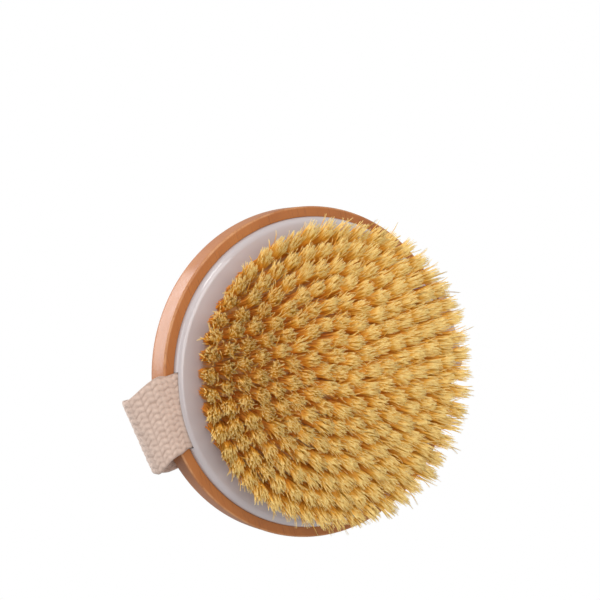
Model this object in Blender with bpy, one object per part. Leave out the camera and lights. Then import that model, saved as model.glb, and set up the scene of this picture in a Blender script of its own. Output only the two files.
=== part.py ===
"""Round body dry brush: a turned wooden body, a white moulded bristle plate set into its face, fields of
splayed bristle tufts and a cotton webbing hand strap stapled under the plate.

The brush stands on its bristle tips. The tips lie in the plane Z = 0, the wooden back faces +Z, and the
strap runs along X over the back. Blender units are metres.
"""

import math

import bmesh
import bpy
from mathutils import Matrix, Vector
from mathutils.geometry import interpolate_bezier

MM = 0.001
GAP = 0.3 * MM  # left between neighbouring pieces

# Wooden body
BODY_RADIUS = 67.5 * MM
BODY_THICKNESS = 18.0 * MM
FRONT_Z = 24.5 * MM  # front face, which is also the height of the bristles above it
BACK_Z = FRONT_Z + BODY_THICKNESS
FRONT_EDGE_RADIUS = 0.9 * MM
BACK_EDGE_RADIUS = 7.5 * MM
RECESS_RADIUS = 63.3 * MM
RECESS_DEPTH = 5.0 * MM
RECESS_FLOOR_Z = FRONT_Z + RECESS_DEPTH

# Bristle plate; heights are measured from the body's front face towards the bristle tips
PLATE_RADIUS = RECESS_RADIUS - GAP
PLATE_RIM_HEIGHT = 3.4 * MM
PLATE_RIM_ROUNDING = 2.9 * MM
PLATE_CROWN_HEIGHT = 3.9 * MM
PLATE_UNDERSIDE_DEPTH = 1.5 * MM
PLATE_FOOT_DEPTH = RECESS_DEPTH - GAP
SKIRT_INNER_RADIUS = 57.5 * MM
BOSS_RADIUS = 24.0 * MM

# Tufts: RING_COUNT rings, with 6 more tufts in each ring than in the ring inside it
RING_COUNT = 8
SECTOR_COUNT = 6
ROOT_PITCH = 6.6 * MM
TIP_PITCH = 7.3 * MM
TUFT_SIDES = 6
TUFT_ROOT_RADIUS = 1.8 * MM
TUFT_TIP_RADIUS = 3.0 * MM
WEB_THICKNESS = 0.6 * MM  # the skin that joins the roots of one sector
WEB_INNER_RADIUS = 3.5 * MM
WEB_OUTER_RADIUS = 57.0 * MM
WEB_HALF_GAP = math.radians(1.6)

# Hand strap
STRAP_WIDTH = 32.0 * MM
STRAP_THICKNESS = 1.8 * MM
STRAP_TAB_START = 45.0 * MM  # how far from the axis the hidden tab begins
STRAP_RISER = 57.5 * MM  # where the strap climbs out of the recess
STRAP_CORNER = 1.4 * MM
TAB_SHIFT = 5.4 * MM  # each tab is fastened this far to one side of the strap's line over the back
LOOSE_REACH = 77.7 * MM  # how far from the axis the left end stands out, with all the strap's slack
SNUG_REACH = 71.5 * MM  # the same of the right end, which lies close to the body
EAR_HEIGHT = 7.5 * MM  # of that outermost point behind the front face
LOOSE_SLANT = 0.14  # how far the left end's fold runs along X for each unit across the strap
LOOSE_EAR_SHIFT = -0.5 * MM  # sideways place of the left end's fold, and of its landing on the back
LOOSE_SHOULDER_SHIFT = -4.5 * MM
SHOULDER = 63.0 * MM  # where the strap comes down onto the edge of the back
CROWN_Z = BACK_Z + 14.5 * MM
SPAN_HALF_LENGTH = 30.0 * MM
EAR_STEPS = 8  # along each curved stretch
LEAVING_SHARE = 0.55  # of the reach past the front edge, before the strap turns back
LANDING_SHARE = 0.61  # of the reach past the shoulder, as the strap comes down onto the back
NOTCH_CLEARANCE = 1.0 * MM
TAB_NOTCH_START = 51.0 * MM

# Strap staples
STAPLE_X = 51.0 * MM
STAPLE_Y = 8.0 * MM
STAPLE_CROWN = 11.0 * MM
STAPLE_LEG = 8.0 * MM
STAPLE_WIRE = 0.8 * MM

FULL_TURN = 2 * math.pi
BODY_SEGMENTS = 72
CUTTER_OVERRUN = 3.0 * MM


def clear_scene():
    for obj in list(bpy.data.objects):
        bpy.data.objects.remove(obj)


def material(name, colour, roughness, metallic=0.0):
    made = bpy.data.materials.new(name)
    made.use_nodes = True
    shader = made.node_tree.nodes["Principled BSDF"]
    shader.inputs["Base Color"].default_value = (*colour, 1.0)
    shader.inputs["Roughness"].default_value = roughness
    shader.inputs["Metallic"].default_value = metallic
    return made


def add_object(name, bm, finish):
    """Turns the bmesh into a named object with outward normals."""
    bmesh.ops.recalc_face_normals(bm, faces=bm.faces)
    mesh = bpy.data.meshes.new(name)
    bm.to_mesh(mesh)
    bm.free()
    if finish:
        mesh.materials.append(finish)
    obj = bpy.data.objects.new(name, mesh)
    bpy.context.scene.collection.objects.link(obj)
    return obj


def as_helper(obj):
    obj.hide_render = True
    obj.display_type = "WIRE"
    return obj


def boolean(obj, operation, other):
    modifier = obj.modifiers.new(operation.lower(), "BOOLEAN")
    modifier.operation = operation
    modifier.object = other
    modifier.solver = "EXACT"


def shade_round(obj, angle=math.radians(35)):
    obj.data.shade_smooth()
    obj.data.set_sharp_from_angle(angle=angle)


def arc(centre, radius, start_deg, end_deg, steps):
    """Points on a circular arc in the (across, Z) plane."""
    angles = (math.radians(start_deg + (end_deg - start_deg) * i / steps) for i in range(steps + 1))
    return [(centre[0] + radius * math.cos(a), centre[1] + radius * math.sin(a)) for a in angles]


def turned(name, outline, finish, segments=BODY_SEGMENTS):
    """A solid of revolution about Z. The outline's (radius, Z) points start and end on the axis."""
    bm = bmesh.new()
    verts = [bm.verts.new((radius, 0.0, z)) for radius, z in outline]
    edges = [bm.edges.new(pair) for pair in zip(verts, verts[1:])]
    profile = verts + edges
    bmesh.ops.spin(bm, geom=profile, axis=(0, 0, 1), angle=FULL_TURN, steps=segments, use_merge=True)
    bmesh.ops.remove_doubles(bm, verts=bm.verts, dist=1e-6)
    obj = add_object(name, bm, finish)
    shade_round(obj)
    return obj


def block(name, low, high, finish=None):
    """A box between two corners."""
    low, high = Vector(low), Vector(high)
    bm = bmesh.new()
    size = Matrix.Diagonal((*(high - low), 1.0))
    bmesh.ops.create_cube(bm, size=1.0, matrix=Matrix.Translation((low + high) / 2) @ size)
    return add_object(name, bm, finish)


def eased(share):
    """Rises smoothly from 0 to 1."""
    return share * share * (3 - 2 * share)


def strip(name, path, finish):
    """A band of STRAP_WIDTH and STRAP_THICKNESS along a path of (X, Z, sideways shift, slant) stations."""
    bm = bmesh.new()
    loops = []
    for i, (x, z, shift, slant) in enumerate(path):
        ahead = path[min(i + 1, len(path) - 1)]
        behind = path[max(i - 1, 0)]
        along = Vector((ahead[0] - behind[0], ahead[1] - behind[1])).normalized()
        loop = []
        for face, edge in ((1, -1), (1, 1), (-1, 1), (-1, -1)):
            outward = face * STRAP_THICKNESS / 2
            across = edge * STRAP_WIDTH / 2
            corner = (x - along.y * outward + slant * across, shift + across, z + along.x * outward)
            loop.append(bm.verts.new(corner))
        loops.append(loop)
    for near, far in zip(loops, loops[1:]):
        for i in range(4):
            bm.faces.new((near[i - 1], near[i], far[i], far[i - 1]))
    bm.faces.new(loops[0])
    bm.faces.new(loops[-1])
    obj = add_object(name, bm, finish)
    shade_round(obj, math.radians(50))
    return obj


def curve(start, start_handle, end_handle, end):
    """A cubic curve's points after the first, in the (X, Z) plane."""
    corners = [Vector((*p, 0.0)) for p in (start, start_handle, end_handle, end)]
    return [(p.x, p.y) for p in interpolate_bezier(*corners, EAR_STEPS + 1)[1:]]


def make_body(wood):
    edge, back = FRONT_EDGE_RADIUS, BACK_EDGE_RADIUS
    outline = [(0.0, RECESS_FLOOR_Z), (RECESS_RADIUS, RECESS_FLOOR_Z), (RECESS_RADIUS, FRONT_Z)]
    outline += arc((BODY_RADIUS - edge, FRONT_Z + edge), edge, -90, 0, 3)
    outline += arc((BODY_RADIUS - back, BACK_Z - back), back, 0, 90, 8)
    outline.append((0.0, BACK_Z))
    return turned("wooden_body", outline, wood)


def plate_surface(radius):
    """Height of the plate's domed face above the body's front face."""
    share = radius / (PLATE_RADIUS - PLATE_RIM_ROUNDING)
    return PLATE_CROWN_HEIGHT + (PLATE_RIM_HEIGHT - PLATE_CROWN_HEIGHT) * share**2


def make_plate(plastic):
    dome_radius = PLATE_RADIUS - PLATE_RIM_ROUNDING
    dome_steps = 6
    outline = [
        (dome_radius * i / dome_steps, FRONT_Z - plate_surface(dome_radius * i / dome_steps))
        for i in range(dome_steps)
    ]
    centre = (dome_radius, FRONT_Z - PLATE_RIM_HEIGHT + PLATE_RIM_ROUNDING)
    outline += arc(centre, PLATE_RIM_ROUNDING, -90, 0, 6)
    underside, foot = FRONT_Z + PLATE_UNDERSIDE_DEPTH, FRONT_Z + PLATE_FOOT_DEPTH
    outline += [(PLATE_RADIUS, foot), (SKIRT_INNER_RADIUS, foot), (SKIRT_INNER_RADIUS, underside)]
    outline += [(BOSS_RADIUS, underside), (BOSS_RADIUS, foot), (0.0, foot)]
    plate = turned("bristle_plate", outline, plastic)
    top = FRONT_Z - GAP - STRAP_THICKNESS - GAP
    tab_face = RECESS_FLOOR_Z - GAP - STRAP_THICKNESS
    riser_start = STRAP_RISER - STRAP_THICKNESS / 2 - 2 * GAP
    levels = {"riser": (riser_start, top), "tab": (TAB_NOTCH_START, tab_face - 2 * GAP)}
    for side in (-1, 1):
        for part, (start, level) in levels.items():
            near, far = sorted((side * start, side * (PLATE_RADIUS + CUTTER_OVERRUN)))
            middle, half = side * TAB_SHIFT, STRAP_WIDTH / 2 + NOTCH_CLEARANCE
            low, high = (near, middle - half, level), (far, middle + half, foot + CUTTER_OVERRUN)
            notch = block(f"{part}_notch_{side}", low, high)
            boolean(plate, "DIFFERENCE", as_helper(notch))
    return plate


def tuft_places():
    """(sector, root centre, tip centre, turn) of each tuft outside the centre one."""
    for ring in range(1, RING_COUNT + 1):
        count = SECTOR_COUNT * ring
        for i in range(count):
            angle = FULL_TURN * (i + 0.5) / count
            direction = Vector((math.cos(angle), math.sin(angle)))
            yield i // ring, direction * ROOT_PITCH * ring, direction * TIP_PITCH * ring, angle


def add_tuft(bm, root, tip, turn):
    """One tapered tuft from just inside the web down to the plane of the tips."""
    root_z = FRONT_Z - plate_surface(root.length) - GAP - WEB_THICKNESS / 2
    lean = (root - tip) / root_z
    shear = Matrix.Identity(4)
    shear[0][2], shear[1][2] = lean
    place = Matrix.Translation((*tip, 0.0)) @ shear @ Matrix.Translation((0, 0, root_z / 2))
    bmesh.ops.create_cone(
        bm,
        cap_ends=True,
        segments=TUFT_SIDES,
        radius1=TUFT_TIP_RADIUS,
        radius2=TUFT_ROOT_RADIUS,
        depth=root_z,
        matrix=place @ Matrix.Rotation(turn, 4, "Z"),
    )


def make_web(name, sector, bristle):
    """The thin skin on the plate's dome that joins the roots of one sector's tufts."""
    steps, turns = 5, 8
    radii = [WEB_INNER_RADIUS + (WEB_OUTER_RADIUS - WEB_INNER_RADIUS) * i / steps for i in range(steps + 1)]
    near = [(r, FRONT_Z - plate_surface(r) - GAP) for r in radii]
    far = [(r, z - WEB_THICKNESS) for r, z in near]
    start = FULL_TURN * sector / SECTOR_COUNT + WEB_HALF_GAP
    bm = bmesh.new()
    verts = [bm.verts.new((r, 0.0, z)) for r, z in near + far[::-1]]
    edges = [bm.edges.new((verts[i - 1], verts[i])) for i in range(len(verts))]
    bmesh.ops.rotate(bm, verts=verts, matrix=Matrix.Rotation(start, 3, "Z"))
    sweep = FULL_TURN / SECTOR_COUNT - 2 * WEB_HALF_GAP
    bmesh.ops.spin(bm, geom=verts + edges, cent=(0, 0, 0), axis=(0, 0, 1), angle=sweep, steps=turns)
    bmesh.ops.holes_fill(bm, edges=[e for e in bm.edges if e.is_boundary], sides=0)
    return add_object(name, bm, bristle)


def make_tufts(bristle):
    bm = bmesh.new()
    add_tuft(bm, Vector((0, 0)), Vector((0, 0)), 0.0)
    add_object("centre_tuft", bm, bristle)
    places = list(tuft_places())
    for sector in range(SECTOR_COUNT):
        bm = bmesh.new()
        for owner, root, tip, turn in places:
            if owner == sector:
                add_tuft(bm, root, tip, turn)
        tufts = as_helper(add_object(f"sector_{sector + 1}_tufts", bm, bristle))
        web = make_web(f"tuft_sector_{sector + 1}", sector, bristle)
        boolean(web, "UNION", tufts)


def drifting(points, shifts, slants):
    """Stations at the points, with shift and slant easing from the first of each pair to the second."""
    stations = []
    for i, (x, z) in enumerate(points, start=1):
        share = eased(i / len(points))
        shift = shifts[0] + (shifts[1] - shifts[0]) * share
        stations.append((x, z, shift, slants[0] + (slants[1] - slants[0]) * share))
    return stations


def end_path(reach, slant=0.0, ear_shift=0.0, shoulder_shift=0.0):
    """A right end's stations: its tab, the way out under the plate, the fold by the body and the crown."""
    half = STRAP_THICKNESS / 2
    tab_z = RECESS_FLOOR_Z - GAP - half
    face_z = FRONT_Z - GAP - half
    corner = STRAP_CORNER
    ear_z = FRONT_Z + EAR_HEIGHT
    rest_z = BACK_Z + 2 * GAP + half
    tab = [(STRAP_TAB_START, tab_z)]
    tab += arc((STRAP_RISER - corner, tab_z - corner), corner, 90, 0, 3)
    tab += arc((STRAP_RISER + corner, face_z + corner), corner, 180, 270, 3)
    front = (BODY_RADIUS - 1.0 * MM, face_z)
    ear = (reach, ear_z)
    shoulder = (SHOULDER, rest_z)
    crown = (SPAN_HALF_LENGTH + 2 * GAP, CROWN_Z)
    leaving = (front[0] + (reach - front[0]) * LEAVING_SHARE, face_z)
    landing = (SHOULDER + (reach - SHOULDER) * LANDING_SHARE, rest_z - 0.5 * MM)
    outward = curve(front, leaving, (reach, ear_z - 5 * MM), ear)
    inward = curve(ear, (reach, ear_z + 7 * MM), landing, shoulder)
    rise = curve(shoulder, (SHOULDER - 11 * MM, rest_z + 0.6 * MM), (crown[0] + 14 * MM, CROWN_Z), crown)
    stations = [(x, z, TAB_SHIFT, 0.0) for x, z in [*tab, front]]
    stations += drifting(outward, (TAB_SHIFT, ear_shift), (0.0, slant))
    stations += drifting(inward, (ear_shift, shoulder_shift), (slant, 0.0))
    stations += drifting(rise, (shoulder_shift, 0.0), (0.0, 0.0))
    return stations


def staple_centres():
    """Two staples through each tab. The left tab is the right one turned half round."""
    return [(side * STAPLE_X, side * TAB_SHIFT + row * STAPLE_Y) for side in (-1, 1) for row in (-1, 1)]


def staple_levels():
    """Z of the crown's outer face and of the leg tips."""
    crown_z = RECESS_FLOOR_Z - GAP - STRAP_THICKNESS - GAP - STAPLE_WIRE
    return crown_z, crown_z + STAPLE_LEG


def make_staple(name, x, y, steel):
    """A flat-crowned wire staple, its legs pointing up into the wood."""
    crown_z, tip_z = staple_levels()
    half, wire = STAPLE_CROWN / 2, STAPLE_WIRE
    inner, inner_z = half - wire, crown_z + wire
    outline = [(-half, crown_z), (half, crown_z), (half, tip_z), (inner, tip_z)]
    outline += [(inner, inner_z), (-inner, inner_z), (-inner, tip_z), (-half, tip_z)]
    bm = bmesh.new()
    face = bm.faces.new([bm.verts.new((x - wire / 2, y + across, z)) for across, z in outline])
    moved = bmesh.ops.extrude_face_region(bm, geom=[face])["geom"]
    bmesh.ops.translate(bm, verts=[v for v in moved if isinstance(v, bmesh.types.BMVert)], vec=(wire, 0, 0))
    return add_object(name, bm, steel)


def make_leg_holes():
    """One cutter with a clearance slot for every staple leg, through the strap tabs and into the wood."""
    crown_z, tip_z = staple_levels()
    size = STAPLE_WIRE + 2 * GAP
    bottom, top = crown_z + STAPLE_WIRE, tip_z + 2 * GAP
    bm = bmesh.new()
    for x, y in staple_centres():
        for side in (-1, 1):
            centre = (x, y + side * (STAPLE_CROWN - STAPLE_WIRE) / 2, (bottom + top) / 2)
            scale = Matrix.Diagonal((size, size, top - bottom, 1.0))
            bmesh.ops.create_cube(bm, size=1.0, matrix=Matrix.Translation(centre) @ scale)
    return as_helper(add_object("staple_leg_holes", bm, None))


def make_strap(webbing):
    loose = end_path(LOOSE_REACH, LOOSE_SLANT, LOOSE_EAR_SHIFT, LOOSE_SHOULDER_SHIFT)
    right = strip("strap_end_right", end_path(SNUG_REACH), webbing)
    left = strip("strap_end_left", loose, webbing)
    left.data.transform(Matrix.Rotation(math.pi, 4, "Z"))
    strip("strap_span", [(side * SPAN_HALF_LENGTH, CROWN_Z, 0.0, 0.0) for side in (-1, 1)], webbing)
    return [left, right]


def main():
    clear_scene()
    wood = material("varnished_wood", (0.62, 0.31, 0.14), 0.42)
    plastic = material("white_plastic", (0.80, 0.79, 0.82), 0.25)
    bristle = material("natural_bristle", (0.72, 0.47, 0.15), 0.55)
    webbing = material("cotton_webbing", (0.80, 0.67, 0.59), 0.9)
    steel = material("staple_steel", (0.60, 0.60, 0.62), 0.35, 1.0)

    body = make_body(wood)
    make_plate(plastic)
    make_tufts(bristle)
    strap_ends = make_strap(webbing)
    holes = make_leg_holes()
    for pierced in [body, *strap_ends]:
        boolean(pierced, "DIFFERENCE", holes)
    for number, (x, y) in enumerate(staple_centres(), start=1):
        make_staple(f"strap_staple_{number}", x, y, steel)


main()
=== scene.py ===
"""The looks of the round body dry brush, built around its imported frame.

Metres, +Z up. The brush stands on its bristle tips, so the camera of the main view is below the floor, which
only shows from above. The wooden body, the plate, the bristles and the strap are finer pieces that stand for
the CAD solids; the strap's staples keep their CAD shape.
"""

import math

import bmesh
import bpy
import numpy as np
from mathutils import Matrix, Vector


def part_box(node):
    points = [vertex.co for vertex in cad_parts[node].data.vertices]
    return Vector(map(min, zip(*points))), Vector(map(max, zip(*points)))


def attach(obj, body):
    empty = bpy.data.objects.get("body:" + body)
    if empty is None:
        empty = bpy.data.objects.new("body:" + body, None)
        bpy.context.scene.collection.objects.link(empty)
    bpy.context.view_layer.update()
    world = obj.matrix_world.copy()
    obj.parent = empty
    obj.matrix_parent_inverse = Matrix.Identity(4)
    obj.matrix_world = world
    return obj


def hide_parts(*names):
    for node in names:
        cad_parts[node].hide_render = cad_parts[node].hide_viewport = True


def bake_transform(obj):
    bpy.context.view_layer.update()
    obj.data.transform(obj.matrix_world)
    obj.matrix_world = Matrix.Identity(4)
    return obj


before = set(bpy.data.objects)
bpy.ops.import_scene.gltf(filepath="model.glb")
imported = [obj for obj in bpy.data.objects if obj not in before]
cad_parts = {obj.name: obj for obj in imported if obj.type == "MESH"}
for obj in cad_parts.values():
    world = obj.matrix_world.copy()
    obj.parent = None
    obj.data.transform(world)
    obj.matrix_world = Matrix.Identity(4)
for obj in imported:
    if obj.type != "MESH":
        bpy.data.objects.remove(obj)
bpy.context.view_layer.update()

MM = 0.001
GAP = 0.3 * MM
SEED = 20

# The frame's own levels and sizes
BODY_LOW, BODY_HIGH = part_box("wooden_body")
PLATE_LOW, PLATE_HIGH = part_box("bristle_plate")
SPAN_LOW, SPAN_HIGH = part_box("strap_span")
FRONT_Z, BACK_Z = BODY_LOW.z, BODY_HIGH.z
BODY_RADIUS = BODY_HIGH.x
PLATE_RADIUS = PLATE_HIGH.y
RECESS_RADIUS = PLATE_RADIUS + GAP
RECESS_FLOOR_Z = PLATE_HIGH.z + GAP
CROWN_Z = (SPAN_LOW.z + SPAN_HIGH.z) / 2
STRAP_WIDTH = SPAN_HIGH.y - SPAN_LOW.y
STRAP_THICKNESS = SPAN_HIGH.z - SPAN_LOW.z

# Turned and moulded edges
LATHE_SEGMENTS = 192
SHARP_ANGLE = math.radians(40)
LIP_STEPS = 4
FRONT_EDGE_STEPS = 8
BACK_EDGE_STEPS = 20
DOME_STEPS = 16
RIM_STEPS = 12
FRONT_EDGE_RADIUS = 0.9 * MM
BACK_EDGE_RADIUS = 7.5 * MM
RECESS_LIP = 0.12 * MM
PLATE_RIM_HEIGHT = 3.4 * MM
PLATE_RIM_ROUNDING = 2.9 * MM
PLATE_CROWN_HEIGHT = FRONT_Z - PLATE_LOW.z
PLATE_UNDERSIDE_DEPTH = 1.5 * MM
PLATE_FIT = 0.08 * MM
SKIRT_INNER_RADIUS = 57.5 * MM
NOTCH_CLEARANCE = 0.12 * MM
NOTCH_BEHIND_SKIRT = 6.5 * MM
NOTCH_OVERRUN = 2.0 * MM

# Colours: the wood is worn along its front ridge, and the plate gets painted shade with painted orange bounce
# light from the bristles where the tufts stand
BLACK = (0.0, 0.0, 0.0)
WHITE = (1.0, 1.0, 1.0)
BODY_GRAIN = (1.0, 0.09, 1.0)
RIDGE_INSET = 0.3 * MM
WEAR_REACH = 0.9 * MM
WORN_WOOD = (0.62, 0.34, 0.17)
WORN_STRENGTH = 0.5
# The plate's painted shade and bounce light among the tufts: where it ends, how soft and wavering its edge
# is, and its colour
FIELD_RADIUS = 50.5 * MM
FIELD_EDGE = 3.0 * MM
FIELD_WAVER = 2.0 * MM
ROOT_PAINTED_SHADE = (0.60, 0.36, 0.13)

# Tufts, in rings round the centre one. Spreads are radii at the root and the tip.
RING_COUNT = 8
SECTOR_COUNT = 6
ROOT_PITCH = 6.5 * MM
TIP_PITCH = 7.3 * MM
ROOT_SPREAD = 2.35 * MM
ROOT_SINK = 1.0 * MM
TIP_SPREAD = 3.1 * MM
FAN_POWER = 1.35
TUFT_LEAN = 0.5 * MM
LOWEST_TIP = 0.05 * MM
TIP_RAGGEDNESS = 0.5 * MM
TIP_CROWN = 1.1 * MM
CROWN_POWER = 1.3
SPREAD_RANGE = (0.92, 1.08)
CROWN_RANGE = (0.5, 1.1)

# Bristles, in clumps. A wild clump strays and curls WILDNESS times as far as the others.
CLUMPS_PER_TUFT = 64
BRISTLES_PER_CLUMP = 3
BRISTLE_RADIUS = 0.11 * MM
RADIUS_RANGE = (0.75, 1.2)
TUFT_TONE_SPREAD = 0.10
BRISTLE_TONE_SPREAD = 0.22
ROOT_JITTER = 0.35 * MM
CLUMP_SIZE = 0.16 * MM
STRAY = 0.42 * MM
BOW = 0.28 * MM
CURL = 0.28 * MM
CURL_START = 0.6
WILD_SHARE = 0.22
WILDNESS = 3.8
GOLDEN_TURN = math.pi * (3 - math.sqrt(5))

# How round a whole tuft and each of its bristles are shaded
TUFT_ROUNDNESS = 0.75
BRISTLE_ROUNDNESS = 0.35

# Core of a tuft: its width and length are shares of the tuft's. Its colour is read further along and its
# shades are kept high, so it is paler: painted light standing in for light glowing through the bristles
CORE_SIDES = 12
CORE_SHARE = 0.74
CORE_LENGTH = 0.66
CORE_PAINTED_LIGHT = 1.12
CORE_FLUTING = 0.8
CORE_RAGGEDNESS = 1.5 * MM
CORE_POINT = 1.0 * MM
CORE_SHADES = (0.3, 0.8)

# Hand strap route, as in the frame. Handles are those of the curves it follows.
STRAP_TAB_START = 45.0 * MM
STRAP_RISER = 57.5 * MM
STRAP_CORNER = 1.4 * MM
TAB_SHIFT = 5.4 * MM
LOOSE_REACH = 77.7 * MM
SNUG_REACH = 71.5 * MM
EAR_HEIGHT = 7.5 * MM
LOOSE_SLANT = 0.14
LOOSE_EAR_SHIFT = -0.5 * MM
LOOSE_SHOULDER_SHIFT = -4.5 * MM
LEAVING_SHARE = 0.55
LANDING_SHARE = 0.61
SHOULDER = 63.0 * MM
SPAN_HALF_LENGTH = SPAN_HIGH.x
PINCHED_WIDTH = 0.94
FRONT_INSET = 1.0 * MM
EAR_HANDLE_BELOW = 5 * MM
EAR_HANDLE_ABOVE = 7 * MM
LANDING_DIP = 0.5 * MM
SHOULDER_HANDLE = 11 * MM
SHOULDER_RISE = 0.6 * MM
CROWN_HANDLE = 14 * MM
CURVE_STEPS = 40
CORNER_STEPS = 8

# Webbing
STATION_STEP = 0.46 * MM
COLUMNS = 78
RIB_PITCH = 2.4 * MM
ZIGZAG_LENGTH = 4.2 * MM
ZIGZAG_SWING = 1.0 * MM
RELIEF = 0.36 * MM
YARN_TABLE = (64, 512)
YARN_WANDER = 0.06
YARN_LOW = 0.2
YARN_PROFILE = 0.7
STITCH_PROFILE = 0.6
THINNEST_YARN = 0.6
EDGE_SQUARENESS = 16
EDGE_WOBBLE = 0.14 * MM
WOBBLE_COUNT = 60

# Camera: the bristles' axis is turned to the right of the line of sight and drops a little.
# DISC_CENTRE is how far the middle of the wooden face lies to the camera's right and up.
CAMERA_DISTANCE = 0.6035
CAMERA_LENS = 88.8
BRISTLE_TURN = math.radians(28.78)
BRISTLE_DROP = math.radians(1.4)
STRAP_TURN = math.radians(18.0)
DISC_CENTRE = (0.0066, -0.0292)

# Floor
FLOOR_HALF_SIZE = 1.5
FLOOR_DROP = 0.2 * MM


# ---------------------------------------------------------------- helpers


def mesh_object(name, verts, faces, finish):
    mesh = bpy.data.meshes.new(name)
    mesh.from_pydata([tuple(v) for v in verts], [], faces)
    mesh.update()
    mesh.materials.append(finish)
    obj = bpy.data.objects.new(name, mesh)
    bpy.context.scene.collection.objects.link(obj)
    return obj


def shade_round(obj):
    """Smooth shading that keeps the sharp edges sharp."""
    obj.data.shade_smooth()
    obj.data.set_sharp_from_angle(angle=SHARP_ANGLE)


def turn_faces_outward(mesh):
    bm = bmesh.new()
    bm.from_mesh(mesh)
    bmesh.ops.recalc_face_normals(bm, faces=bm.faces)
    bm.to_mesh(mesh)
    bm.free()


def eased(share):
    return share * share * (3 - 2 * share)


def arc(centre, radius, start_deg, end_deg, steps):
    angles = (math.radians(start_deg + (end_deg - start_deg) * i / steps) for i in range(steps + 1))
    return [(centre[0] + radius * math.cos(a), centre[1] + radius * math.sin(a)) for a in angles]


def ring_quads(rings, around):
    """Faces between each ring of points and the next."""
    i = np.arange(rings - 1)[:, None] * around
    j = np.arange(around)[None, :]
    k = (j + 1) % around
    return np.stack([i + j, i + k, i + around + k, i + around + j], -1).reshape(-1, 4)


def turned(name, outline, finish):
    """A solid of revolution whose outline starts and ends on the axis."""
    ring = np.array(outline[1:-1])
    angles = np.arange(LATHE_SEGMENTS) * 2 * math.pi / LATHE_SEGMENTS
    verts = np.empty((len(ring), LATHE_SEGMENTS, 3))
    verts[..., 0] = ring[:, :1] * np.cos(angles)
    verts[..., 1] = ring[:, :1] * np.sin(angles)
    verts[..., 2] = ring[:, 1:]
    faces = ring_quads(len(ring), LATHE_SEGMENTS).tolist()
    first, last = len(ring) * LATHE_SEGMENTS, len(ring) * LATHE_SEGMENTS + 1
    base = (len(ring) - 1) * LATHE_SEGMENTS
    for j in range(LATHE_SEGMENTS):
        k = (j + 1) % LATHE_SEGMENTS
        faces.append((first, k, j))
        faces.append((last, base + j, base + k))
    points = list(verts.reshape(-1, 3)) + [(0, 0, outline[0][1]), (0, 0, outline[-1][1])]
    obj = mesh_object(name, points, faces, finish)
    turn_faces_outward(obj.data)
    return obj


def set_layer(obj, name, values):
    """Give each point of the mesh a value that a material can read."""
    layer = obj.data.attributes.new(name, "FLOAT", "POINT")
    layer.data.foreach_set("value", values.reshape(-1).astype(np.float32))


def apply_modifiers(obj):
    bpy.context.view_layer.update()
    evaluated = obj.evaluated_get(bpy.context.evaluated_depsgraph_get())
    mesh = bpy.data.meshes.new_from_object(evaluated)
    obj.modifiers.clear()
    obj.data = mesh


# ---------------------------------------------------------------- materials


class Nodes:
    """A material's node tree with short calls for adding and joining nodes."""

    def __init__(self, name):
        self.material = bpy.data.materials.new(name)
        self.material.use_nodes = True
        self.tree = self.material.node_tree
        self.shader = self.tree.nodes["Principled BSDF"]

    def add(self, kind, settings=(), **inputs):
        node = self.tree.nodes.new(kind)
        for key, value in dict(settings).items():
            setattr(node, key, value)
        for key, value in inputs.items():
            self.feed(node.inputs[key.replace("_", " ")], value)
        return node

    def feed(self, socket, value):
        if isinstance(value, bpy.types.NodeSocket):
            self.tree.links.new(value, socket)
        else:
            socket.default_value = value

    def math(self, operation, a, b=0.0):
        node = self.tree.nodes.new("ShaderNodeMath")
        node.operation = operation
        self.feed(node.inputs[0], a)
        self.feed(node.inputs[1], b)
        return node.outputs[0]

    def ramp(self, factor, *stops):
        """stops are (position, colour)."""
        node = self.tree.nodes.new("ShaderNodeValToRGB")
        elements = node.color_ramp.elements
        while len(elements) < len(stops):
            elements.new(0.5)
        for element, (position, colour) in zip(elements, stops):
            element.position = position
            element.color = (*colour, 1.0)
        self.feed(node.inputs["Fac"], factor)
        return node.outputs["Color"]

    def mix(self, factor, a, b, blend="MIX"):
        node = self.tree.nodes.new("ShaderNodeMix")
        node.data_type = "RGBA"
        node.blend_type = blend
        self.feed(node.inputs["Factor"], factor)
        colour_sockets = [s for s in node.inputs if s.type == "RGBA"]
        for socket, value in zip(colour_sockets, (a, b)):
            self.feed(socket, value if isinstance(value, bpy.types.NodeSocket) else (*value, 1.0))
        return [s for s in node.outputs if s.type == "RGBA"][0]

    def span(self, value, low, high):
        """The value's 0 to 1 range moved to low to high."""
        node = self.add("ShaderNodeMapRange", Value=value, To_Min=low, To_Max=high)
        return node.outputs["Result"]

    def stretched(self, scale):
        """Object coordinates, scaled along each axis."""
        coords = self.add("ShaderNodeTexCoord").outputs["Object"]
        return self.add("ShaderNodeMapping", Vector=coords, Scale=scale).outputs["Vector"]

    def out_and_up(self):
        """Distance from the brush's axis, and height."""
        x, y, z = self.add("ShaderNodeSeparateXYZ", Vector=self.stretched((1.0, 1.0, 1.0))).outputs
        squares = self.math("ADD", self.math("MULTIPLY", x, x), self.math("MULTIPLY", y, y))
        return self.math("SQRT", squares), z

    def noise(self, vector, scale, detail, roughness):
        node = self.add("ShaderNodeTexNoise", Vector=vector, Scale=scale, Detail=detail, Roughness=roughness)
        return node.outputs["Fac"]

    def attribute(self, name):
        return self.add("ShaderNodeAttribute", {"attribute_name": name}).outputs["Fac"]

    def bump(self, height, strength, distance):
        node = self.add("ShaderNodeBump", Height=height, Strength=strength, Distance=distance)
        self.feed(self.shader.inputs["Normal"], node.outputs["Normal"])

    def finish(self, **inputs):
        for key, value in inputs.items():
            self.feed(self.shader.inputs[key.replace("_", " ")], value)
        return self.material


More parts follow.
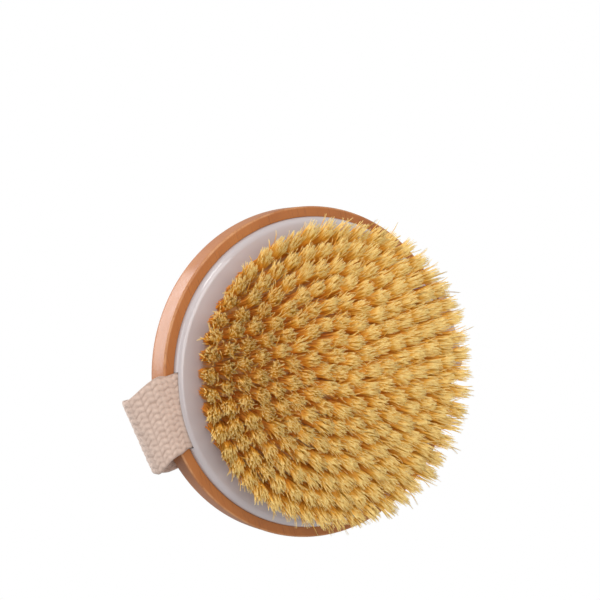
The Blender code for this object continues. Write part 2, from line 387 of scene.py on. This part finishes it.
def wood_material():
    n = Nodes("varnished_wood")
    along = n.stretched(BODY_GRAIN)
    bands = n.noise(along, 55.0, 4.0, 0.6)
    fibre = n.noise(along, 900.0, 3.0, 0.6)
    pores = n.noise(n.stretched((1.0, 0.05, 1.0)), 2600.0, 2.0, 0.5)
    mottle = n.noise(n.stretched((1.0, 1.0, 1.0)), 120.0, 3.0, 0.55)
    colour = n.ramp(
        bands,
        (0.3, (0.31, 0.092, 0.016)),
        (0.52, (0.37, 0.121, 0.023)),
        (0.72, (0.42, 0.153, 0.033)),
    )
    colour = n.mix(n.span(fibre, 0.0, 0.55), colour, (0.31, 0.098, 0.024))
    colour = n.mix(n.span(mottle, 0.0, 0.28), colour, (0.43, 0.175, 0.048))
    out, height = n.out_and_up()
    aside = n.math("ABSOLUTE", n.math("SUBTRACT", out, BODY_RADIUS - RIDGE_INSET))
    above = n.math("ABSOLUTE", n.math("SUBTRACT", height, FRONT_Z + RIDGE_INSET))
    from_ridge = n.math("DIVIDE", n.math("ADD", aside, above), WEAR_REACH)
    ridge = n.ramp(from_ridge, (0.3, WHITE), (1.0, BLACK))
    worn = n.math("MULTIPLY", ridge, n.ramp(mottle, (0.38, (0.25, 0.25, 0.25)), (0.58, WHITE)))
    colour = n.mix(n.math("MULTIPLY", worn, WORN_STRENGTH), colour, WORN_WOOD)
    fleck = n.ramp(pores, (0.60, BLACK), (0.70, WHITE))
    colour = n.mix(n.math("MULTIPLY", fleck, 0.45), colour, (0.16, 0.045, 0.012))
    relief = n.math("SUBTRACT", n.math("MULTIPLY", fibre, 0.5), n.math("MULTIPLY", fleck, 0.6))
    n.bump(relief, 0.35, 0.12 * MM)
    unevenness = n.math("ADD", mottle, n.math("MULTIPLY", fibre, 0.4))
    return n.finish(
        Base_Color=colour,
        Roughness=n.span(unevenness, 0.48, 0.72),
        Specular_IOR_Level=0.4,
        Coat_Weight=0.22,
        Coat_Roughness=0.20,
    )


def plate_material():
    n = Nodes("milky_plate")
    flow = n.noise(n.stretched((1.0, 1.0, 1.0)), 26.0, 3.0, 0.5)
    grain = n.noise(n.stretched((1.0, 1.0, 1.0)), 700.0, 2.0, 0.5)
    colour = n.ramp(flow, (0.35, (0.44, 0.395, 0.40)), (0.65, (0.485, 0.44, 0.445)))
    # Darker and warmer inside the tufted field, with a wavering edge: painted shade and painted orange bounce
    # light from the bristles
    out, _ = n.out_and_up()
    out = n.math("ADD", out, n.math("MULTIPLY", n.math("SUBTRACT", flow, 0.5), FIELD_WAVER))
    root_shade_field = n.add("ShaderNodeMapRange", Value=out, From_Min=FIELD_RADIUS, From_Max=FIELD_RADIUS + FIELD_EDGE)
    colour = n.mix(root_shade_field.outputs["Result"], ROOT_PAINTED_SHADE, colour)
    n.bump(n.math("ADD", flow, n.math("MULTIPLY", grain, 0.003)), 0.05, 0.5 * MM)
    unevenness = n.math("ADD", n.math("MULTIPLY", flow, 0.9), n.math("MULTIPLY", grain, 0.1))
    return n.finish(
        Base_Color=colour,
        Roughness=n.span(unevenness, 0.38, 0.52),
        Subsurface_Weight=0.25,
        Subsurface_Radius=(1.0, 0.9, 0.95),
        Subsurface_Scale=2.0 * MM,
        Specular_IOR_Level=0.3,
        Coat_Weight=0.9,
        Coat_Roughness=0.06,
    )


def bristle_material():
    n = Nodes("natural_bristle")
    along = n.attribute("along")
    shade = n.attribute("shade")
    # Paler towards the tips and deeper orange towards the roots: partly the fibres' own colour, partly
    # painted shade for deep inside the tufts
    colour = n.ramp(
        along,
        (0.0, (0.76, 0.21, 0.005)),
        (0.45, (0.77, 0.235, 0.007)),
        (0.66, (0.81, 0.31, 0.017)),
        (0.85, (0.92, 0.50, 0.070)),
        (1.0, (1.0, 0.83, 0.37)),
    )
    colour = n.mix(n.span(shade, 0.0, 0.25), colour, (0.91, 0.54, 0.095))
    dark = n.ramp(shade, (0.0, (0.90, 0.80, 0.62)), (0.35, WHITE))
    colour = n.mix(1.0, colour, dark, "MULTIPLY")
    streak = n.noise(n.stretched((1.0, 1.0, 0.15)), 1400.0, 2.0, 0.5)
    colour = n.mix(n.span(streak, 0.0, 0.20), colour, (0.74, 0.36, 0.04))
    return n.finish(
        Base_Color=colour,
        Roughness=n.span(streak, 0.40, 0.62),
        Specular_IOR_Level=0.3,
    )


def webbing_material():
    n = Nodes("cotton_webbing")
    weave = n.attribute("weave")
    yarn = n.noise(n.stretched((1.0, 1.0, 1.0)), 2600.0, 3.0, 0.65)
    patch = n.noise(n.stretched((1.0, 1.0, 1.0)), 90.0, 3.0, 0.5)
    # Dark down in the gaps between the yarns and lighter on their tops: painted shade in the weave's hollows
    colour = n.ramp(
        weave,
        (0.0, (0.32, 0.21, 0.16)),
        (0.35, (0.54, 0.395, 0.325)),
        (1.0, (0.67, 0.51, 0.42)),
    )
    colour = n.mix(n.span(patch, 0.0, 0.35), colour, (0.56, 0.45, 0.39))
    colour = n.mix(n.span(yarn, 0.0, 0.30), colour, (0.38, 0.28, 0.23))
    place = n.add("ShaderNodeCombineXYZ", X=n.attribute("across"), Y=n.attribute("run")).outputs["Vector"]
    twist = n.add(
        "ShaderNodeTexWave",
        {"bands_direction": "DIAGONAL"},
        Vector=place,
        Scale=260.0,
        Distortion=2.5,
        Detail=2.0,
        Detail_Scale=1.5,
    ).outputs["Fac"]
    colour = n.mix(n.span(twist, 0.22, 0.0), colour, (0.33, 0.235, 0.185))
    n.bump(n.math("ADD", n.math("MULTIPLY", yarn, 0.6), n.math("MULTIPLY", twist, 0.6)), 0.6, 0.14 * MM)
    return n.finish(
        Base_Color=colour,
        Roughness=n.span(yarn, 0.80, 0.97),
        Sheen_Weight=0.35,
        Sheen_Roughness=0.5,
        Sheen_Tint=(1.0, 0.93, 0.88, 1.0),
    )


def steel_material():
    n = Nodes("staple_wire")
    drawn = n.noise(n.stretched((1.0, 1.0, 0.1)), 4000.0, 2.0, 0.6)
    colour = n.ramp(drawn, (0.3, (0.50, 0.50, 0.51)), (0.7, (0.66, 0.66, 0.67)))
    n.bump(drawn, 0.2, 0.03 * MM)
    return n.finish(Base_Color=colour, Roughness=n.span(drawn, 0.24, 0.42), Metallic=1.0)


def floor_material():
    """Pale from above, and clear from below."""
    n = Nodes("pale_floor")
    cloud = n.noise(n.stretched((1.0, 1.0, 1.0)), 4.0, 2.0, 0.5)
    colour = n.ramp(cloud, (0.3, (0.80, 0.80, 0.80)), (0.7, (0.84, 0.84, 0.84)))
    n.finish(
        Base_Color=colour,
        Roughness=0.8,
        Emission_Color=(0.8, 0.8, 0.8, 1.0),
        Emission_Strength=0.12,
    )
    clear = n.add("ShaderNodeBsdfTransparent").outputs["BSDF"]
    behind = n.add("ShaderNodeNewGeometry").outputs["Backfacing"]
    both = n.add("ShaderNodeMixShader")
    n.feed(both.inputs[0], behind)
    n.feed(both.inputs[1], n.shader.outputs["BSDF"])
    n.feed(both.inputs[2], clear)
    n.feed(n.tree.nodes["Material Output"].inputs["Surface"], both.outputs[0])
    return n.material


# ---------------------------------------------------------------- body and plate


def make_body(finish):
    """The turned body. Its flat parts have rings in them too, placed by their share of the way across."""
    edge, back = FRONT_EDGE_RADIUS, BACK_EDGE_RADIUS
    outline = [(0.0, RECESS_FLOOR_Z)]
    outline += [(RECESS_RADIUS * share, RECESS_FLOOR_Z) for share in (0.4, 0.8, 0.995)]
    outline += [(RECESS_RADIUS, RECESS_FLOOR_Z - RECESS_LIP)]
    outline += arc((RECESS_RADIUS + RECESS_LIP, FRONT_Z + RECESS_LIP), RECESS_LIP, 180, 270, LIP_STEPS)
    outline += [(RECESS_RADIUS + (BODY_RADIUS - RECESS_RADIUS) * share, FRONT_Z) for share in (0.4, 0.7)]
    outline += arc((BODY_RADIUS - edge, FRONT_Z + edge), edge, -90, 0, FRONT_EDGE_STEPS)
    outline += [(BODY_RADIUS, FRONT_Z + (BACK_Z - FRONT_Z) * share) for share in (0.2, 0.4)]
    outline += arc((BODY_RADIUS - back, BACK_Z - back), back, 0, 90, BACK_EDGE_STEPS)
    outline += [(BODY_RADIUS * share, BACK_Z) for share in (0.8, 0.6, 0.4, 0.2)]
    outline.append((0.0, BACK_Z))
    body = turned("turned_body", outline, finish)
    shade_round(body)
    return body


def plate_surface(radius):
    """Height of the plate's domed face above the body's front face."""
    share = radius / (PLATE_RADIUS - PLATE_RIM_ROUNDING)
    return PLATE_CROWN_HEIGHT + (PLATE_RIM_HEIGHT - PLATE_CROWN_HEIGHT) * share**2


def notch_cutter(side):
    """The way out for one end of the strap, through the plate's skirt and under its rim."""
    riser_start = STRAP_RISER - STRAP_THICKNESS / 2 - 2 * GAP
    top = FRONT_Z - GAP - STRAP_THICKNESS - GAP
    tab_face = RECESS_FLOOR_Z - GAP - STRAP_THICKNESS - 2 * GAP
    tab_start = SKIRT_INNER_RADIUS - NOTCH_BEHIND_SKIRT
    beyond = PLATE_RADIUS + NOTCH_OVERRUN
    outline = [(riser_start, top), (beyond, top), (beyond, RECESS_FLOOR_Z)]
    outline += [(tab_start, RECESS_FLOOR_Z), (tab_start, tab_face), (riser_start, tab_face)]
    half = STRAP_WIDTH / 2 * PINCHED_WIDTH + NOTCH_CLEARANCE
    bm = bmesh.new()
    face = bm.faces.new([bm.verts.new((side * x, side * TAB_SHIFT - half, z)) for x, z in outline])
    moved = bmesh.ops.extrude_face_region(bm, geom=[face])["geom"]
    far_side = [v for v in moved if isinstance(v, bmesh.types.BMVert)]
    bmesh.ops.translate(bm, verts=far_side, vec=(0, 2 * half, 0))
    bmesh.ops.recalc_face_normals(bm, faces=bm.faces)
    mesh = bpy.data.meshes.new("notch")
    bm.to_mesh(mesh)
    bm.free()
    cutter = bpy.data.objects.new("notch", mesh)
    bpy.context.scene.collection.objects.link(cutter)
    return cutter


def make_plate(finish):
    edge_radius = RECESS_RADIUS - PLATE_FIT
    dome_radius = edge_radius - PLATE_RIM_ROUNDING
    radii = [dome_radius * i / DOME_STEPS for i in range(DOME_STEPS)]
    outline = [(r, FRONT_Z - plate_surface(r)) for r in radii]
    centre = (dome_radius, FRONT_Z - PLATE_RIM_HEIGHT + PLATE_RIM_ROUNDING)
    outline += arc(centre, PLATE_RIM_ROUNDING, -90, 0, RIM_STEPS)
    underside, foot = FRONT_Z + PLATE_UNDERSIDE_DEPTH, PLATE_HIGH.z
    outline += [(edge_radius, foot), (SKIRT_INNER_RADIUS, foot), (SKIRT_INNER_RADIUS, underside)]
    outline += [(SKIRT_INNER_RADIUS / 2, underside), (0.0, underside)]
    plate = turned("moulded_plate", outline, finish)
    cutters = [notch_cutter(side) for side in (-1, 1)]
    for cutter in cutters:
        cut = plate.modifiers.new("notch", "BOOLEAN")
        cut.operation = "DIFFERENCE"
        cut.object = cutter
        cut.solver = "EXACT"
    apply_modifiers(plate)
    for cutter in cutters:
        bpy.data.objects.remove(cutter)
    shade_round(plate)
    return plate


# ---------------------------------------------------------------- bristles


def tuft_places():
    """(sector, root centre, tip centre) of each tuft; the centre one is in sector 0."""
    yield 0, np.zeros(2), np.zeros(2)
    for ring in range(1, RING_COUNT + 1):
        count = SECTOR_COUNT * ring
        for i in range(count):
            angle = 2 * math.pi * (i + 0.5) / count
            direction = np.array((math.cos(angle), math.sin(angle)))
            yield i // ring, direction * ROOT_PITCH * ring, direction * TIP_PITCH * ring


# Places along a bristle from root to tip, and its thickness there
STATIONS = np.array([0.0, 0.38, 0.68, 0.90, 1.0])
THICKNESS = np.array([1.0, 1.0, 0.95, 0.85, 0.42])

# A tuft's stations run downwards, so the faces between them are turned over
TURNED_OVER = [0, 3, 2, 1]


def fanned(t):
    """How far a tuft has opened from root to tip, t of the way along it: half evenly and half late."""
    return 0.5 * t + 0.5 * t ** (2 * FAN_POWER)


def root_height(root):
    """Z of a tuft's root, which is sunk a little into the plate's face."""
    return FRONT_Z - plate_surface(float(np.linalg.norm(root))) + ROOT_SINK


def tuft_axis(root, tip):
    """X and Y of a tuft's middle line at each station, with 0 for Z."""
    share = STATIONS[:, None]
    return np.concatenate([root * (1 - share) + tip * share, np.zeros((len(STATIONS), 1))], 1)


def tuft_bristles(rng, root, tip):
    """Centre lines of one tuft's bristles: an array of bristle, station and X, Y, Z.

    They grow evenly from the root, close up into clumps and fan out, and the longest are in the middle.
    """
    clumps, each = CLUMPS_PER_TUFT, BRISTLES_PER_CLUMP
    rank = (np.arange(clumps) + 0.5) / clumps
    turn = np.arange(clumps) * GOLDEN_TURN + rng.uniform(0, 2 * math.pi)
    spoke = np.stack([np.cos(turn), np.sin(turn)], 1) * np.sqrt(rank)[:, None]
    wild = np.where(rng.random(clumps) < WILD_SHARE, WILDNESS, 1.0)[:, None]
    spread = TIP_SPREAD * rng.uniform(*SPREAD_RANGE)
    starts = root + spoke * ROOT_SPREAD
    ends = tip + rng.normal(0, TUFT_LEAN, 2) + spoke * spread + rng.normal(0, STRAY, (clumps, 2)) * wild
    short = TIP_CROWN * rank**CROWN_POWER * rng.uniform(*CROWN_RANGE, clumps)
    short = short + rng.exponential(TIP_RAGGEDNESS, clumps)
    bow = rng.normal(0, BOW, (clumps, 1, 2))
    curl = rng.normal(0, CURL, (clumps, 1, 2)) * wild[:, None, :]
    starts, ends, short, bow, curl = (np.repeat(a, each, axis=0) for a in (starts, ends, short, bow, curl))
    count = clumps * each
    starts = starts + rng.normal(0, ROOT_JITTER, (count, 2))
    ends = ends + rng.normal(0, CLUMP_SIZE, (count, 2))
    root_z = root_height(root)
    tip_z = LOWEST_TIP + short + rng.exponential(TIP_RAGGEDNESS / 2, count)
    t = STATIONS[None, :, None]
    fan = fanned(t)
    flat = starts[:, None, :] * (1 - fan) + ends[:, None, :] * fan
    curled = np.clip((t - CURL_START) / (1 - CURL_START), 0, 1) ** 2
    flat = flat + bow * np.sin(math.pi * t) + curl * curled
    z = root_z + (tip_z[:, None] - root_z) * STATIONS[None, :]
    return np.concatenate([flat, z[..., None]], 2)


def unit(vectors):
    return vectors / np.maximum(np.linalg.norm(vectors, axis=-1, keepdims=True), 1e-9)


def tuft_normals(lines, around, axis):
    """Shading normals that treat a tuft as one soft body, with a share of each bristle's own roundness."""
    outward = lines - axis
    outward[..., 2] = 0.0
    outward /= TIP_SPREAD
    body = unit(outward * TUFT_ROUNDNESS + np.array((0.0, 0.0, -1.0)))
    return unit(body[:, :, None, :] + unit(around) * BRISTLE_ROUNDNESS)


def add_tubes(lines, axis, radii, out):
    """Three-sided tapered tubes round the centre lines, appended to out's lists."""
    count, stations, _ = lines.shape
    corner = np.arange(3) * 2 * math.pi / 3
    ring = np.stack([np.cos(corner), np.sin(corner), np.zeros(3)], 1)
    width = radii[:, None] * THICKNESS[None, :]
    around = ring[None, None] * width[:, :, None, None]
    verts = lines[:, :, None, :] + around
    out["normals"].append(tuft_normals(lines, around, axis).reshape(-1, 3))
    first = sum(len(v) for v in out["verts"]) + np.arange(count) * stations * 3
    quads = first[:, None, None] + ring_quads(stations, 3)[:, TURNED_OVER]
    roots = np.stack([first, first + 1, first + 2], 1)
    last = first + (stations - 1) * 3
    tips = np.stack([last + 2, last + 1, last], 1)
    out["verts"].append(verts.reshape(-1, 3))
    out["quads"].append(quads.reshape(-1, 4))
    out["tris"].append(np.concatenate([roots, tips]))


def core_points(rng, root, tip):
    """A ring of points at each of the core's stations, and the point that closes its end."""
    t = CORE_LENGTH * STATIONS[:, None]
    fan = fanned(t)
    angle = (np.arange(CORE_SIDES) + rng.uniform(0, 1)) * 2 * math.pi / CORE_SIDES
    flutes = rng.uniform(CORE_FLUTING, 1.0, CORE_SIDES)[:, None]
    spoke = np.stack([np.cos(angle), np.sin(angle)], 1) * flutes
    reach = CORE_SHARE * (ROOT_SPREAD * (1 - fan) + TIP_SPREAD * fan)
    middle = root * (1 - fan) + tip * fan
    flat = middle[:, None, :] + spoke[None] * reach[..., None]
    root_z = root_height(root)
    z = root_z * (1 - t) + rng.uniform(0, CORE_RAGGEDNESS, CORE_SIDES) * t
    end = np.array((*middle[-1], root_z * (1 - CORE_LENGTH) - CORE_POINT))
    return np.concatenate([flat, z[..., None]], 2), end


def core_ends(base):
    """Triangles that close a core whose points start at base: round its end point, and over its root."""
    j = np.arange(CORE_SIDES)
    k = (j + 1) % CORE_SIDES
    last = base + (len(STATIONS) - 1) * CORE_SIDES
    point = np.full(CORE_SIDES, last + CORE_SIDES)
    root = np.full(CORE_SIDES, base)
    return np.stack([last + j, point, last + k], 1), np.stack([base + k, root, base + j], 1)[1:-1]


def add_core(rng, root, tip, axis, out):
    """A flared, fluted core in the middle of a tuft, ending well short of the bristles' tips.

    It keeps the plate from showing through between the bristles. The real brush has none.
    """
    sides, end = core_points(rng, root, tip)
    verts = np.concatenate([sides.reshape(-1, 3), end[None]])
    outward = np.concatenate([(sides - axis[:, None, :]).reshape(-1, 3), np.zeros((1, 3))])
    outward[:, 2] = 0.0
    base = sum(len(v) for v in out["verts"])
    out["quads"].append(base + ring_quads(len(STATIONS), CORE_SIDES)[:, TURNED_OVER])
    out["tris"].extend(core_ends(base))
    out["verts"].append(verts)
    out["normals"].append(unit(outward / TIP_SPREAD * TUFT_ROUNDNESS + np.array((0.0, 0.0, -1.0))))
    # The core's colour is read further towards the pale tips than its height gives, and its shades are kept
    # high: painted light
    out["along"].append(CORE_PAINTED_LIGHT * np.append(np.repeat(CORE_LENGTH * STATIONS, CORE_SIDES), CORE_LENGTH))
    out["shade"].append(rng.uniform(*CORE_SHADES, len(verts)))


def sector_piece(name, out, finish):
    """One sector's mesh, with its layers and shading normals, from out's lists."""
    faces = np.concatenate(out["quads"]).tolist() + np.concatenate(out["tris"]).tolist()
    piece = mesh_object(name, np.concatenate(out["verts"]), faces, finish)
    set_layer(piece, "along", np.concatenate(out["along"]))
    set_layer(piece, "shade", np.concatenate(out["shade"]))
    piece.data.shade_smooth()
    piece.data.normals_split_custom_set_from_vertices(np.concatenate(out["normals"]))
    return piece


def make_bristles(finish):
    rng = np.random.default_rng(SEED)
    keys = ("verts", "normals", "quads", "tris", "along", "shade")
    sectors = [{key: [] for key in keys} for _ in range(SECTOR_COUNT)]
    for sector, root, tip in tuft_places():
        lines = tuft_bristles(rng, root, tip)
        count = len(lines)
        out = sectors[sector]
        axis = tuft_axis(root, tip)
        add_tubes(lines, axis, BRISTLE_RADIUS * rng.uniform(*RADIUS_RANGE, count), out)
        tuft_tone = rng.normal(0.5, TUFT_TONE_SPREAD)
        tone = np.clip(tuft_tone + rng.normal(0, BRISTLE_TONE_SPREAD, count), 0, 1)
        out["along"].append(np.tile(np.repeat(STATIONS, 3), count))
        out["shade"].append(np.repeat(tone, len(STATIONS) * 3))
        add_core(rng, root, tip, axis, out)
    return [sector_piece(f"bristles_{i}", out, finish) for i, out in enumerate(sectors, start=1)]


# ---------------------------------------------------------------- hand strap


def bezier(start, start_handle, end_handle, end, steps):
    t = np.linspace(0, 1, steps + 1)[1:, None]
    a, b, c, d = (np.array(p) for p in (start, start_handle, end_handle, end))
    points = (1 - t) ** 3 * a + 3 * (1 - t) ** 2 * t * b + 3 * (1 - t) * t * t * c + t**3 * d
    return [tuple(p) for p in points]


def drifting(points, shifts, slants):
    """Stations at the points, with shift and slant easing from the first of each pair to the second."""
    stations = []
    for i, (x, z) in enumerate(points, start=1):
        share = eased(i / len(points))
        shift = shifts[0] + (shifts[1] - shifts[0]) * share
        stations.append((x, z, shift, slants[0] + (slants[1] - slants[0]) * share, 1.0))
    return stations


def half_route(reach, slant=0.0, ear_shift=0.0, shoulder_shift=0.0):
    """A right end's stations, from the tab to the middle of the span.

    Each is X, Z, sideways shift, slant and width. After the riser in the plate's skirt, the strap goes
    outward to its ear beside the body, inward to its shoulder on the back, and rises to its crown.
    """
    half = STRAP_THICKNESS / 2
    tab_z = RECESS_FLOOR_Z - GAP - half
    face_z = FRONT_Z - GAP - half
    ear_z = FRONT_Z + EAR_HEIGHT
    rest_z = BACK_Z + 2 * GAP + half
    corner = STRAP_CORNER
    flat = [(STRAP_TAB_START, tab_z)]
    flat += arc((STRAP_RISER - corner, tab_z - corner), corner, 90, 0, CORNER_STEPS)
    flat += arc((STRAP_RISER + corner, face_z + corner), corner, 180, 270, CORNER_STEPS)
    front = (BODY_RADIUS - FRONT_INSET, face_z)
    ear = (reach, ear_z)
    shoulder = (SHOULDER, rest_z)
    crown = (SPAN_HALF_LENGTH, CROWN_Z)
    leaving = (front[0] + (reach - front[0]) * LEAVING_SHARE, face_z)
    landing = (SHOULDER + (reach - SHOULDER) * LANDING_SHARE, rest_z - LANDING_DIP)
    climbing = (SHOULDER - SHOULDER_HANDLE, rest_z + SHOULDER_RISE)
    levelling = (crown[0] + CROWN_HANDLE, CROWN_Z)
    outward = bezier(front, leaving, (reach, ear_z - EAR_HANDLE_BELOW), ear, CURVE_STEPS)
    inward = bezier(ear, (reach, ear_z + EAR_HANDLE_ABOVE), landing, shoulder, CURVE_STEPS)
    rise = bezier(shoulder, climbing, levelling, crown, CURVE_STEPS)
    flat.append((RECESS_RADIUS + 2 * GAP, face_z))
    stations = [(x, z, TAB_SHIFT, 0.0, PINCHED_WIDTH) for x, z in flat]
    stations.append((*front, TAB_SHIFT, 0.0, 1.0))
    stations += drifting(outward, (TAB_SHIFT, ear_shift), (0.0, slant))
    stations += drifting(inward, (ear_shift, shoulder_shift), (slant, 0.0))
    stations += drifting(rise, (shoulder_shift, 0.0), (0.0, 0.0))
    stations.append((0.0, CROWN_Z, 0.0, 0.0, 1.0))
    return np.array(stations)


def strap_route():
    """Evenly spaced stations of the whole strap, from the left tab to the right one, and their distances."""
    right = half_route(SNUG_REACH)
    left = half_route(LOOSE_REACH, LOOSE_SLANT, LOOSE_EAR_SHIFT, LOOSE_SHOULDER_SHIFT)
    left = left * np.array([-1, 1, -1, 1, 1])
    route = np.concatenate([left, right[::-1][1:]])
    run = np.concatenate([[0], np.cumsum(np.linalg.norm(np.diff(route[:, :2], axis=0), axis=1))])
    places = np.linspace(0, run[-1], int(run[-1] / STATION_STEP) + 1)
    return places, np.stack([np.interp(places, run, column) for column in route.T], 1)


def weave_height(across, along, rng):
    """0 in the gaps and 1 on top of the plump yarns, which lie in zigzag ribs along the strap."""
    phase = along / ZIGZAG_LENGTH
    zigzag = 4 * np.abs(phase - np.floor(phase + 0.5)) - 1
    zigzag = 0.5 * zigzag + 0.5 * np.sin(zigzag * math.pi / 2)
    rib = (across + ZIGZAG_SWING / 2 * zigzag) / RIB_PITCH
    number = np.floor(rib + 0.5)
    stitch = np.floor(2 * phase)
    ribs, stitches = YARN_TABLE
    place = ((number + ribs // 2).astype(int) % ribs, stitch.astype(int) % stitches)
    aside = rng.normal(0, YARN_WANDER, YARN_TABLE)[place]
    plump = np.clip(np.cos(math.pi * (rib - number - aside)), 0, 1) ** YARN_PROFILE
    length = np.clip(np.sin(math.pi * (2 * phase - stitch)), 0, 1) ** STITCH_PROFILE
    own = rng.uniform(THINNEST_YARN, 1.0, YARN_TABLE)[place]
    return plump * (YARN_LOW + (1 - YARN_LOW) * length) * own


def strap_skin(places, route, across):
    """A loop of points round each station, over one face and back over the other.

    The weave's height at each point comes with it.
    """
    run = np.gradient(route[:, :2], axis=0)
    run /= np.linalg.norm(run, axis=1)[:, None]
    normal = np.stack([-run[:, 1], run[:, 0]], 1)
    edge = np.sqrt(np.clip(1 - np.abs(across) ** EDGE_SQUARENESS, 0, 1))
    y = across * STRAP_WIDTH / 2
    rng = np.random.default_rng(SEED + 1)
    knots = np.linspace(0, places[-1], WOBBLE_COUNT)
    wobble = np.interp(places, knots, rng.normal(0, EDGE_WOBBLE, WOBBLE_COUNT))
    loops, heights = [], []
    for face in (1, -1):
        weave = weave_height(y[None, :] + (face - 1) * RIB_PITCH / 4, places[:, None], rng) * edge
        offset = face * ((STRAP_THICKNESS / 2 - RELIEF) * edge + RELIEF * weave)
        side = y[None, :] * route[:, 4:5]
        x = route[:, 0:1] + normal[:, 0:1] * offset + route[:, 3:4] * side
        z = route[:, 1:2] + normal[:, 1:2] * offset
        grid = np.stack([x, route[:, 2:3] + side + wobble[:, None], z], -1)
        loops.append(grid if face == 1 else grid[:, ::-1][:, 1:-1])
        heights.append(weave if face == 1 else weave[:, ::-1][:, 1:-1])
    return np.concatenate(loops, 1), np.concatenate(heights, 1)


def make_strap(finish):
    places, route = strap_route()
    across = np.linspace(-1, 1, COLUMNS)
    verts, weave = strap_skin(places, route, across)
    count, around = weave.shape
    faces = ring_quads(count, around).tolist()
    faces.append(list(range(around - 1, -1, -1)))
    faces.append([(count - 1) * around + p for p in range(around)])
    strap = mesh_object("hand_strap", verts.reshape(-1, 3), faces, finish)
    y = across * STRAP_WIDTH / 2
    set_layer(strap, "weave", weave)
    set_layer(strap, "across", np.broadcast_to(np.concatenate([y, y[::-1][1:-1]]), weave.shape))
    set_layer(strap, "run", np.broadcast_to(places[:, None], weave.shape))
    turn_faces_outward(strap.data)
    strap.data.shade_smooth()
    return strap


# ---------------------------------------------------------------- camera, light and floor


def camera_axes():
    """The camera's right, up and back directions in the frame, as the columns of a matrix.

    Its rows are the frame's X, Y and Z as the camera sees them, and are worked out first.
    """
    turn, drop = BRISTLE_TURN, BRISTLE_DROP
    towards = Vector((math.sin(turn) * math.cos(drop), -math.sin(turn) * math.sin(drop), math.cos(turn)))
    level = Vector((0, 1, 0)).cross(towards).normalized()
    upright = towards.cross(level)
    along = level * math.cos(STRAP_TURN) + upright * math.sin(STRAP_TURN)
    across = (-towards).cross(along)
    return Matrix((along, across, -towards))


def make_camera():
    axes = camera_axes()
    data = bpy.data.cameras.new("camera")
    data.lens = CAMERA_LENS
    data.sensor_width = 36.0
    data.clip_start = 0.01
    camera = bpy.data.objects.new("camera", data)
    bpy.context.scene.collection.objects.link(camera)
    spot = Vector((0, 0, FRONT_Z)) - axes @ Vector((*DISC_CENTRE, -CAMERA_DISTANCE))
    camera.matrix_world = Matrix.Translation(spot) @ axes.to_4x4()
    bpy.context.scene.camera = camera


def area_light(name, place, size, power, colour=WHITE):
    """A square lamp at a place, turned to the middle of the brush."""
    data = bpy.data.lights.new(name, "AREA")
    data.size = size
    data.energy = power
    data.color = colour
    lamp = bpy.data.objects.new(name, data)
    bpy.context.scene.collection.objects.link(lamp)
    aim = Vector((0, 0, FRONT_Z)) - place
    lamp.matrix_world = Matrix.Translation(place) @ aim.to_track_quat("-Z", "Y").to_matrix().to_4x4()


def make_lights():
    """Three lamps placed by the camera's right, up and back, and one over the brush's back."""
    axes = camera_axes()
    middle = Vector((0, 0, FRONT_Z))
    key_place = middle + axes @ Vector((-0.30, 0.90, 0.75))
    fill_place = middle + axes @ Vector((0.28, 0.25, 1.1))
    left_place = middle + axes @ Vector((-1.1, 0.15, 0.35))
    area_light("key", key_place, size=0.32, power=3.6, colour=(1.0, 0.985, 0.96))
    area_light("front_fill", fill_place, size=0.9, power=9.0)
    area_light("left", left_place, size=0.7, power=3.0)
    area_light("top", Vector((-0.5, -0.6, 1.1)), size=0.8, power=14.0)


def make_world():
    """Soft light from all round, while the camera itself sees plain white."""
    world = bpy.data.worlds.new("studio")
    bpy.context.scene.world = world
    world.use_nodes = True
    tree = world.node_tree
    soft = tree.nodes["Background"]
    soft.inputs["Color"].default_value = (1.0, 0.99, 0.98, 1.0)
    soft.inputs["Strength"].default_value = 0.6
    white = tree.nodes.new("ShaderNodeBackground")
    white.inputs["Color"].default_value = (1.0, 1.0, 1.0, 1.0)
    white.inputs["Strength"].default_value = 1.0
    seen = tree.nodes.new("ShaderNodeLightPath")
    either = tree.nodes.new("ShaderNodeMixShader")
    tree.links.new(seen.outputs["Is Camera Ray"], either.inputs[0])
    tree.links.new(soft.outputs[0], either.inputs[1])
    tree.links.new(white.outputs[0], either.inputs[2])
    tree.links.new(either.outputs[0], tree.nodes["World Output"].inputs["Surface"])
    bpy.context.scene.view_settings.view_transform = "Standard"


def make_floor(finish):
    """A floor under the bristle tips that shows from above only and hides no light from what stands on it."""
    half = FLOOR_HALF_SIZE
    corners = [(-half, -half, 0), (half, -half, 0), (half, half, 0), (-half, half, 0)]
    floor = mesh_object("floor", corners, [(0, 1, 2, 3)], finish)
    floor.location.z = -FLOOR_DROP
    floor.visible_shadow = False
    floor.visible_diffuse = False
    floor.visible_glossy = False


# ---------------------------------------------------------------- assembly


def main():
    make_camera()
    make_lights()
    make_world()
    make_floor(floor_material())

    body = make_body(wood_material())
    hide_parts("wooden_body")
    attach(body, "brush")

    plate = make_plate(plate_material())
    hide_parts("bristle_plate")
    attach(plate, "brush")

    for i, piece in enumerate(make_bristles(bristle_material()), start=1):
        stood_for = [f"tuft_sector_{i}"] + (["centre_tuft"] if i == 1 else [])
        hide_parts(*stood_for)
        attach(piece, "brush")

    strap = make_strap(webbing_material())
    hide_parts("strap_end_left", "strap_end_right", "strap_span")
    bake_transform(strap)

    wire = steel_material()
    for name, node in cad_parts.items():
        if name.startswith("strap_staple"):
            node.data.materials.clear()
            node.data.materials.append(wire)


main()
